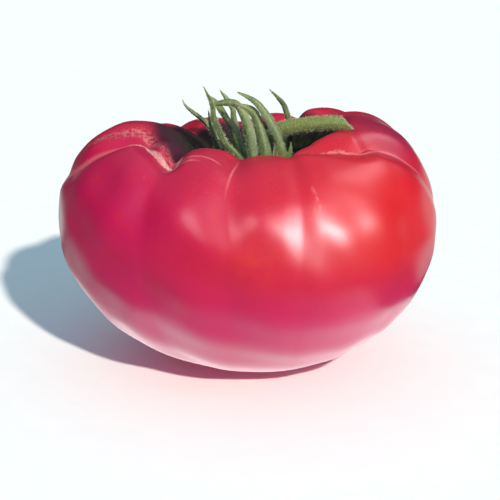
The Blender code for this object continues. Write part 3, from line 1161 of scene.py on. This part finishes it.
SEPALS = (
    Sepal(3.6, (
        (1.5, -3.0, 62.0), (-1.2, -5.8, 66.0), (-3.5, -8.0, 71.8), (-7.6, -9.2, 77.4), (-10.7, -9.0, 84.8),
        (-11.3, -9.0, 89.4), (-14.0, -8.4, 95.0),
    )),
    Sepal(4.2, (
        (3.2, -4.2, 62.0), (2.0, -7.3, 65.0), (1.6, -9.0, 71.1), (0.0, -8.0, 81.3), (-2.8, -6.6, 87.6),
        (-5.7, -5.6, 88.9), (-12.3, -4.6, 88.0),
    )),
    Sepal(4.0, (
        (5.3, -4.5, 62.0), (5.6, -7.6, 65.0), (5.7, -9.2, 71.2), (4.8, -9.0, 77.7), (2.8, -7.8, 84.2),
        (0.9, -7.2, 86.8), (-4.4, -7.2, 89.2),
    )),
    Sepal(3.8, (
        (8.0, -3.6, 62.0), (10.6, -7.0, 65.0), (11.4, -9.0, 71.1), (9.9, -9.5, 77.5), (7.5, -9.4, 83.0),
        (2.8, -8.6, 89.6), (-3.4, -8.0, 93.0),
    )),
    Sepal(2.0, ((9.3, -2.0, 62.0), (12.2, -5.8, 66.0), (13.0, -8.6, 71.7), (13.6, -9.2, 77.1))),
    Sepal(2.8, (
        (7.2, 2.6, 62.0), (9.4, 3.5, 69.1), (11.7, 5.0, 74.7), (13.3, 6.0, 79.5), (12.6, 6.4, 82.7),
        (11.3, 6.6, 85.7), (6.8, 7.4, 90.1),
    )),
    Sepal(2.4, (
        (1.2, 1.6, 62.0), (-2.6, 2.4, 66.0), (-9.0, 0.6, 75.1), (-14.1, 0.0, 81.4), (-19.5, 0.0, 86.0),
        (-21.0, 0.0, 88.7),
    )),
    Sepal(3.2, (
        (3.2, 3.6, 62.0), (1.4, 4.6, 65.0), (-2.6, 5.0, 72.0), (-5.2, 5.2, 77.7), (-10.3, 5.4, 86.0),
        (-13.5, 5.6, 88.6),
    )),
    Sepal(2.0, (
        (0.6, -1.0, 62.0), (-4.0, -3.0, 66.0), (-9.3, -4.5, 73.1), (-11.4, -5.0, 80.5), (-12.6, -5.2, 86.4),
    )),
    Sepal(2.8, (
        (4.6, 4.4, 62.0), (2.2, 6.6, 65.0), (-2.3, 7.6, 69.8), (-4.6, 8.4, 79.5), (-5.2, 8.4, 83.9),
        (-9.1, 8.2, 89.6),
    )),
)


def evenly(line: np.ndarray, count: int) -> np.ndarray:
    """A line read again at equal steps of its length.

    Args:
        line: Its points, one row each.
        count: How many points to read.

    Returns:
        The points.
    """
    steps = np.linalg.norm(np.diff(line, axis=0), axis=1)
    run = np.concatenate(((0.0,), np.cumsum(steps)))
    places = np.linspace(0.0, run[-1], count)
    return np.stack([np.interp(places, run, column) for column in line.T], axis=1)


def carried_frames(line: np.ndarray, side: np.ndarray) -> tuple[np.ndarray, np.ndarray]:
    """Sideways and outward directions carried along a line without twisting.

    Args:
        line: The line's points, one row each.
        side: Roughly the sideways direction at its start.

    Returns:
        Sideways and outward unit vectors at each point.
    """
    along = unit(np.gradient(line, axis=0))
    sides = []
    for direction in along:
        side = unit(side - direction * (side @ direction))
        sides.append(side)
    return np.array(sides), np.cross(np.array(sides), along)


@dataclass
class Calyx:
    """The green disc in the hollow with its sepals, one mesh that stands for the calyx solid."""

    finish: GreenFinish
    sepals: tuple[Sepal, ...] = SEPALS
    centre: tuple[float, float] = (5.0, 0.0)
    floor_height: float = 60.3
    disc_radius: float = 8.0
    disc_height: float = 3.4
    disc_rings: int = 14
    disc_sides: int = 72
    disc_fold: float = 0.05
    disc_folds: int = 10
    disc_underside: float = -0.35
    thickness: float = 1.7
    least_thickness: float = 0.25
    flattening: float = 0.35
    foot: float = 0.8
    foot_length: float = 0.3
    taper: float = 0.5
    waver: float = 0.12
    waver_turns: float = 11.0
    waver_shift: float = 1.7
    tip_length: float = 0.16
    channel: float = 0.5
    ridge: float = 0.3
    ridge_width: float = 0.25
    midrib_width: float = 0.625
    rows: int = 56
    sides: int = 20
    path_steps: int = 10

    def disc(self) -> tuple[np.ndarray, np.ndarray]:
        """Rings of the disc, from its top outwards and under.

        Returns:
            Points as (ring, side, part), and how far each lies from the middle.
        """
        tilt = np.radians(np.linspace(6.0, 105.0, self.disc_rings))[:, None]
        turn = np.radians(np.arange(self.disc_sides) * 360.0 / self.disc_sides)[None, :]
        folds = self.disc_fold * np.sin(self.disc_folds * turn)
        radius = np.sin(tilt) * (1.0 + folds * np.sin(tilt))
        low = self.disc_underside
        height = (np.maximum(np.cos(tilt), low) - low) / (1.0 - low)
        rings = np.stack(
            (
                self.centre[0] + self.disc_radius * radius * np.cos(turn),
                self.centre[1] + self.disc_radius * radius * np.sin(turn),
                self.floor_height + self.disc_height * np.broadcast_to(height, radius.shape),
            ),
            axis=-1,
        )
        return rings, radius

    def strap(self, index: int, sepal: Sepal) -> tuple[np.ndarray, np.ndarray]:
        """Rings of one sepal.

        Args:
            index: The sepal's number, which sets how it wavers.
            sepal: Its width and path.

        Returns:
            Points as (row, side, part), and how close each lies to its midrib.
        """
        line = evenly(through(sepal.path, self.path_steps), self.rows)
        outward = line[0] - np.array((*self.centre, line[0][2]))
        start = np.cross(line[1] - line[0], outward)
        side, out = carried_frames(line, start)
        if np.dot(out[0], outward) < 0.0:
            out = -out
        share = np.linspace(0.0, 1.0, self.rows)[:, None]
        rise = np.minimum(share / self.foot_length, 1.0)
        foot = self.foot + (1.0 - self.foot) * np.sin(math.pi * rise / 2.0)
        point = np.sqrt(1.0 - np.clip((share + self.tip_length - 1.0) / self.tip_length, 0.0, 1.0) * 0.98)
        width = sepal.width * (1.0 - self.taper * share**1.8) * foot * point
        waver = self.waver * np.sin(share * (self.waver_turns + index) + index * self.waver_shift)
        thick = self.least_thickness + (1.0 - self.least_thickness) * width / sepal.width
        thick = self.thickness * thick * point
        turn = (np.arange(self.sides) * 2.0 * math.pi / self.sides)[None, :]
        across = np.cos(turn) * (1.0 + waver * np.abs(np.cos(turn)))
        rib = self.ridge * np.exp(-((across / self.ridge_width) ** 2)) * np.sign(np.sin(turn))
        lift = thick / 2.0 * (np.sin(turn) * (1.0 - self.flattening * across**2) + rib)
        lift = lift - self.channel * across**2 * (width / sepal.width) ** 2
        sideways = across * width / 2.0
        rings = line[:, None] + sideways[..., None] * side[:, None] + lift[..., None] * out[:, None]
        middle = np.clip(1.0 - np.abs(across) / self.midrib_width, 0.0, 1.0)
        return rings, np.broadcast_to(middle, lift.shape)

    def build(self) -> bpy.types.Object:
        """Makes, dresses and registers the calyx.

        Returns:
            The calyx's object.
        """
        rings, radius = self.disc()
        shells = [(rings, np.zeros_like(radius), 0.3 * radius)]
        for index, sepal in enumerate(self.sepals):
            rings, middle = self.strap(index, sepal)
            reach = np.repeat(np.linspace(0.0, 1.0, self.rows), self.sides).reshape(middle.shape)
            shells.append((rings, middle, reach))
        points, faces, values = [], [], {"middle": [], "reach": []}
        count = 0
        for rings, middle, reach in shells:
            faces += tube_faces(rings.shape[0], rings.shape[1], count)
            points += [rings.reshape(-1, 3), rings[:1].mean(axis=1), rings[-1:].mean(axis=1)]
            values["middle"] += [middle.ravel(), middle[0, :1], middle[-1, :1]]
            values["reach"] += [reach.ravel(), reach[0, :1], reach[-1, :1]]
            count += rings.shape[0] * rings.shape[1] + 2
        carried = {key: np.concatenate(columns) for key, columns in values.items()}
        carried["cut"] = np.zeros(count)
        material = self.finish.material()
        calyx = make_object("tomato_calyx", np.concatenate(points), faces, carried, material)
        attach(calyx, "root")
        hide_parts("calyx")
        return calyx


@dataclass
class Stem:
    """The bent stem with its slanted cut, one mesh that stands for the stem solid."""

    finish: GreenFinish
    radius: float = 2.4
    path: tuple[Point, ...] = (
        (5.0, 0.0, 63.0), (5.2, 0.2, 68.0), (6.2, -0.6, 73.5), (9.2, -3.0, 78.6),
        (14.0, -5.8, 81.2), (20.0, -8.4, 82.8), (27.0, -11.2, 84.0), (34.0, -13.4, 84.3),
    )
    cut_point: Point = (30.8, -12.5, 84.2)
    cut_slant: float = 43.0
    cut_turn: float = 0.16
    path_steps: int = 12
    rows: int = 90
    sides: int = 48
    ribs: float = 0.035
    rib_count: int = 5
    rib_twist: float = 2.0
    waver: float = 0.02
    waver_count: int = 3
    waver_twist: float = 9.0
    slimmest: float = 0.87
    root_swell: float = 0.25
    cut_rows: int = 8
    face_rings: tuple[tuple[float, float], ...] = ((0.94, 0.1), (0.86, 0.0), (0.6, -0.15), (0.3, -0.4))

    def build(self) -> bpy.types.Object:
        """Makes, dresses and registers the stem.

        Returns:
            The stem's object.
        """
        line = evenly(through(self.path, self.path_steps), self.rows)
        side, out = carried_frames(line, np.array((0.0, 1.0, 0.0)))
        along = np.cross(out, side)
        share = np.linspace(0.0, 1.0, self.rows)[:, None]
        turn = (np.arange(self.sides) * 2.0 * math.pi / self.sides)[None, :]
        ribs = self.ribs * np.sin(self.rib_count * turn + self.rib_twist * share)
        waver = self.waver * np.sin(self.waver_count * turn + self.waver_twist * share)
        slim = self.slimmest + self.root_swell * (1.0 - share) ** 2
        radius = self.radius * slim * (1.0 + ribs + waver)
        rings = (
            line[:, None]
            + (radius * np.cos(turn))[..., None] * side[:, None]
            + (radius * np.sin(turn))[..., None] * out[:, None]
        )
        slant = math.radians(self.cut_slant)
        plane = unit(np.array((math.cos(slant), self.cut_turn, math.sin(slant))))
        past = (rings - np.array(self.cut_point)) @ plane
        last = int(np.argmax((past > 0.0).any(axis=1)))
        back = past[last] / (along[last] @ plane)
        kept = rings[: last + 1].copy()
        for step in range(1, self.cut_rows + 1):
            row = last - self.cut_rows + step
            kept[row] -= along[last] * (back * (step / self.cut_rows) ** 1.5)[:, None]
        middle = kept[-1].mean(axis=0)
        face = [middle + (kept[-1] - middle) * size + plane * depth for size, depth in self.face_rings]
        rings = np.concatenate((kept, np.array(face)))
        rows = len(rings)
        reach = np.repeat(np.linspace(0.0, 0.8, rows), self.sides)
        cut = np.zeros(rows)
        cut[-len(face):] = np.linspace(1.0, 2.0, len(face))
        points = np.concatenate((rings.reshape(-1, 3), rings[:1].mean(axis=1), rings[-1:].mean(axis=1)))
        values = {
            "reach": np.concatenate((reach, (0.0, 0.8))),
            "middle": np.zeros(rows * self.sides + 2),
            "cut": np.concatenate((np.repeat(cut, self.sides), (0.0, 2.0))),
        }
        faces = tube_faces(rows, self.sides)
        stem = make_object("tomato_stem", points, faces, values, self.finish.material())
        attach(stem, "root")
        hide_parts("stem")
        return stem


@dataclass(frozen=True)
class Down:
    """Fine hairs that stand on a green piece, grown by Geometry Nodes."""

    density: float = 3.6
    length: float = 0.85
    radius: float = 0.035
    shortest: float = 0.45
    longest: float = 1.2
    lean: float = 40.0
    seed: int = 7
    growth_seed: int = 3

    def tree(self) -> bpy.types.NodeTree:
        """The hairs' node tree, with its inputs named.

        Returns:
            The tree.
        """
        group = bpy.data.node_groups.new("green_down", "GeometryNodeTree")
        tree = Tree(group)
        face = group.interface
        kinds = {"Geometry": "Geometry", "Seed": "Int", "Material": "Material"}
        for name in ("Geometry", "Density", "Length", "Radius", "Lean", "Seed", "Material"):
            face.new_socket(name, in_out="INPUT", socket_type=f"NodeSocket{kinds.get(name, 'Float')}")
        face.new_socket("Geometry", in_out="OUTPUT", socket_type="NodeSocketGeometry")
        given = tree.add("NodeGroupInput").outputs
        roots = tree.add(
            "GeometryNodeDistributePointsOnFaces",
            None,
            {"Mesh": given["Geometry"], "Density": given["Density"], "Seed": given["Seed"]},
        )
        hair = tree.add(
            "GeometryNodeMeshCone",
            {"fill_type": "NONE"},
            {"Vertices": 3, "Radius Top": 0.0, "Radius Bottom": given["Radius"], "Depth": given["Length"]},
        )
        sway = tree.add(
            "FunctionNodeRandomValue",
            {"data_type": "FLOAT_VECTOR"},
            {"Min": (-1.0, -1.0, -1.0), "Max": (1.0, 1.0, 1.0), "Seed": given["Seed"]},
        )
        swayed = tree.vector("SCALE", {0: sway.outputs[0], "Scale": given["Lean"]})
        turn = tree.add("FunctionNodeEulerToRotation", None, {0: swayed.outputs[0]})
        leaning = tree.add(
            "FunctionNodeRotateRotation",
            {"rotation_space": "LOCAL"},
            {0: roots.outputs["Rotation"], 1: turn.outputs[0]},
        )
        growth = tree.add(
            "FunctionNodeRandomValue",
            {"data_type": "FLOAT"},
            {"Min": self.shortest, "Max": self.longest, "Seed": self.growth_seed},
        )
        hairs = tree.add(
            "GeometryNodeInstanceOnPoints",
            None,
            {
                "Points": roots.outputs["Points"],
                "Instance": hair.outputs["Mesh"],
                "Rotation": leaning.outputs[0],
                "Scale": Tree.find(growth.outputs, "Value"),
            },
        )
        real = tree.add("GeometryNodeRealizeInstances", None, {0: hairs.outputs[0]})
        inputs = {0: real.outputs[0], "Material": given["Material"]}
        dressed = tree.add("GeometryNodeSetMaterial", None, inputs)
        tree.add("NodeGroupOutput", None, {"Geometry": dressed.outputs[0]})
        return group

    def grow(self, name: str, base: bpy.types.Object, material: bpy.types.Material) -> int:
        """Grows the hairs on a piece, as a mesh of their own.

        Args:
            name: The hairs' object name.
            base: The piece that they stand on.
            material: The hairs' material.

        Returns:
            The number of faces.
        """
        group = self.tree()
        carrier = linked(f"{name}_carrier", base.data)
        grown = carrier.modifiers.new("down", "NODES")
        grown.node_group = group
        sizes = {
            "Density": self.density / MM**2,
            "Length": self.length * MM,
            "Radius": self.radius * MM,
            "Lean": math.radians(self.lean),
            "Seed": self.seed,
            "Material": material,
        }
        for item in group.interface.items_tree:
            if item.in_out == "INPUT" and item.name in sizes:
                grown[item.identifier] = sizes[item.name]
        bpy.context.view_layer.update()
        depsgraph = bpy.context.evaluated_depsgraph_get()
        mesh = bpy.data.meshes.new_from_object(carrier.evaluated_get(depsgraph))
        bpy.data.objects.remove(carrier, do_unlink=True)
        hairs = linked(name, mesh)
        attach(hairs, "root")
        return len(mesh.polygons)


@dataclass(frozen=True)
class Glow:
    """A bright stretch of floor that only reflections see, its ends in metres."""

    name: str
    ends: Ends
    strength: float


@dataclass(frozen=True)
class SoftBox:
    """A soft light that only reflections see, in degrees, metres and watts."""

    name: str
    azimuth: float
    elevation: float
    roll: float
    width: float
    height: float
    power: float


@dataclass
class Studio:
    """A plain pale floor, soft lights and the photograph's camera."""

    target: Point = (0.00067, 0.00023, 0.0375)
    distance: float = 0.5
    elevation: float = 20.0
    lens: float = 109.1
    sensor: float = 36.0
    shift: float = 0.004
    floor_half: float = 4.0
    floor_colour: Colour = paint(249, 253, 252)
    floor_shade: Colour = paint(243, 249, 250)
    glows: tuple[Glow, ...] = (
        Glow("glow_under", (-0.053, 0.072, -0.05, 0.06), 2.3),
        Glow("glow_front", (0.0, 0.072, -0.068, -0.05), 1.2),
        Glow("glow_near", (-0.08, -0.053, -0.036, 0.06), 1.4),
        Glow("glow_left", (-0.18, -0.08, -0.014, 0.07), 0.8),
        Glow("glow_right", (0.1, 0.19, 0.01, 0.1), 1.0),
        Glow("glow_behind", (-0.25, 1.0, 0.1, 1.0), 1.3),
    )
    glow_height: float = 0.00002
    sky: tuple[tuple[float, Colour], ...] = (
        (0.0, (0.9, 0.9, 0.9, 1.0)),
        (0.08, (0.8, 0.8, 0.8, 1.0)),
        (0.22, (0.25, 0.25, 0.26, 1.0)),
        (0.36, (0.05, 0.06, 0.06, 1.0)),
        (0.52, (0.09, 0.12, 0.15, 1.0)),
        (1.0, (0.38, 0.56, 0.68, 1.0)),
    )
    mirror_sky: tuple[tuple[float, Colour], ...] = (
        (0.02, (1.5, 1.5, 1.5, 1.0)),
        (0.08, (0.6, 0.6, 0.6, 1.0)),
        (0.16, (0.05, 0.05, 0.06, 1.0)),
        (0.7, (0.05, 0.06, 0.09, 1.0)),
        (0.9, (0.5, 0.6, 0.7, 1.0)),
        (1.0, (0.8, 1.0, 1.1, 1.0)),
    )
    sun_strength: float = 4.0
    sun_colour: tuple[float, float, float] = (1.0, 0.9, 0.81)
    sun_azimuth: float = 24.0
    sun_elevation: float = 35.0
    sun_softness: float = 2.5
    soft_boxes: tuple[SoftBox, ...] = (
        SoftBox("glint_box", 37.0, 21.5, -16.0, 0.54, 0.2, 23.0),
        SoftBox("glint_low", 42.0, 8.0, 0.0, 0.3, 0.14, 5.2),
        SoftBox("glint_high", 33.0, 38.0, 0.0, 0.5, 0.25, 6.0),
        SoftBox("side_box", 102.0, 52.0, 0.0, 0.42, 0.42, 3.5),
        SoftBox("fill_box", -26.0, 34.0, 0.0, 0.1, 0.3, 3.0),
    )

    @staticmethod
    def toward(azimuth: float, elevation: float) -> Vector:
        """Direction from the object towards a light or the camera.

        Args:
            azimuth: Degrees to the right of the camera's side.
            elevation: Degrees above the floor.

        Returns:
            A unit vector.
        """
        turn, rise = math.radians(azimuth), math.radians(elevation)
        return Vector((math.sin(turn) * math.cos(rise), -math.cos(turn) * math.cos(rise), math.sin(rise)))

    def slab(self, name: str, ends: Ends, height: float, material: bpy.types.Material) -> bpy.types.Object:
        """Lays a level rectangle, marked as stage.

        Args:
            name: The object's name.
            ends: Its left, right, front and back ends in metres.
            height: Its height.
            material: Its material.

        Returns:
            The object.
        """
        left, right, front, back = ends
        plan = ((left, front), (right, front), (right, back), (left, back))
        mesh = bpy.data.meshes.new(name)
        mesh.from_pydata([(*corner, height) for corner in plan], [], [(0, 1, 2, 3)])
        mesh.materials.append(material)
        slab = linked(name, mesh)
        return slab

    def floor(self) -> None:
        """Lays the floor, and over it the bright stretches that the skin reflects."""
        material, tree, shader = new_material("pale_board", {"Roughness": 0.8, "Specular IOR Level": 0.0})
        mottle = tree.noise(9.0, 3.0).eased(0.3, 0.7) * 0.5
        tree.feed(shader.inputs["Base Color"], tree.mix(mottle, self.floor_colour, self.floor_shade))
        half = self.floor_half
        self.slab("floor", (-half, half, -half, half), 0.0, material).visible_glossy = False
        dark = {"Base Color": (0.0, 0.0, 0.0, 1.0), "Emission Color": self.floor_colour}
        for glow in self.glows:
            bright, _, _ = new_material(glow.name, {**dark, "Emission Strength": glow.strength})
            slab = self.slab(glow.name, glow.ends, self.glow_height, bright)
            slab.visible_camera = False
            slab.visible_diffuse = False
            slab.visible_shadow = False

    def lamp(self, name: str, kind: str, azimuth: float, elevation: float, roll: float) -> bpy.types.Object:
        """Hangs a light a metre off, turned towards the object.

        Args:
            name: The light's name.
            kind: Its type.
            azimuth: Degrees to the right of the camera's side.
            elevation: Degrees above the floor.
            roll: Degrees by which its right end is raised.

        Returns:
            The light's object.
        """
        direction = self.toward(azimuth, elevation)
        turned = Quaternion((0.0, 0.0, 1.0), math.radians(roll))
        lamp = linked(name, bpy.data.lights.new(name, kind))
        lamp.location = Vector(self.target) + direction
        lamp.rotation_mode = "QUATERNION"
        lamp.rotation_quaternion = direction.to_track_quat("Z", "Y") @ turned
        return lamp

    def lights(self) -> None:
        """Hangs the sun, which reflections don't see, and the soft boxes, which only they see."""
        sun = self.lamp("key", "SUN", self.sun_azimuth, self.sun_elevation, 0.0)
        sun.data.energy = self.sun_strength
        sun.data.color = self.sun_colour
        sun.data.angle = math.radians(self.sun_softness)
        sun.visible_glossy = False
        for box in self.soft_boxes:
            lamp = self.lamp(box.name, "AREA", box.azimuth, box.elevation, box.roll)
            lamp.data.shape = "RECTANGLE"
            lamp.data.size = box.width
            lamp.data.size_y = box.height
            lamp.data.energy = box.power
            lamp.visible_diffuse = False

    def world(self) -> None:
        """Surrounds the scene with a pale sky, whose reflection in the skin has its own shades."""
        world = bpy.data.worlds.new("pale_sky")
        world.use_nodes = True
        tree = Tree(world.node_tree)
        around = tree.add("ShaderNodeTexCoord")
        parts = tree.add("ShaderNodeSeparateXYZ", None, {0: around.outputs["Generated"]})
        height = Value(tree, parts.outputs["Z"]) * 0.5 + 0.5
        ramps = [
            tree.add("ShaderNodeValToRGB", {"stops": stops}, {0: height}).outputs["Color"]
            for stops in (self.sky, self.mirror_sky)
        ]
        rays = tree.add("ShaderNodeLightPath").outputs
        shade = tree.mix(Value(tree, rays["Is Glossy Ray"]), *ramps)
        shade = tree.mix(Value(tree, rays["Is Camera Ray"]), shade, self.floor_colour)
        background = tree.add("ShaderNodeBackground", None, {"Color": shade, "Strength": 1.0})
        tree.add("ShaderNodeOutputWorld", None, {"Surface": background.outputs[0]})
        world.cycles.sampling_method = "NONE"
        bpy.context.scene.world = world

    def camera(self) -> None:
        """Places the camera where the photograph was taken from."""
        camera = bpy.data.cameras.new("camera")
        camera.lens = self.lens
        camera.sensor_width = self.sensor
        camera.shift_x = self.shift
        eye = linked("camera", camera)
        direction = self.toward(0.0, self.elevation)
        eye.location = Vector(self.target) + direction * self.distance
        eye.rotation_mode = "QUATERNION"
        eye.rotation_quaternion = (-direction).to_track_quat("-Z", "Y")
        bpy.context.scene.camera = eye

    def build(self) -> None:
        """Sets up everything round the object."""
        self.floor()
        self.lights()
        self.world()
        self.camera()
        bpy.context.scene.view_settings.view_transform = "Standard"


def main() -> None:
    """Builds the tomato's pieces and what surrounds them, in order."""
    logging.basicConfig(level=logging.INFO, format="%(name)s: %(message)s")
    Studio().build()
    log.info("studio set up")
    fruit = Fruit(FruitForm(), SkinFinish()).build()
    calyx = Calyx(GreenFinish("sepal_green")).build()
    stem = Stem(GreenFinish("stem_green", leaf=paint(122, 132, 56))).build()
    for piece in (fruit, calyx, stem):
        log.info("%s: %d faces", piece.name, len(piece.data.polygons))
    hair = HairFinish().material()
    log.info("calyx down: %d faces", Down().grow("calyx_down", calyx, hair))
    log.info("stem down: %d faces", Down(seed=11).grow("stem_down", stem, hair))


if __name__ == "__main__":
    main()
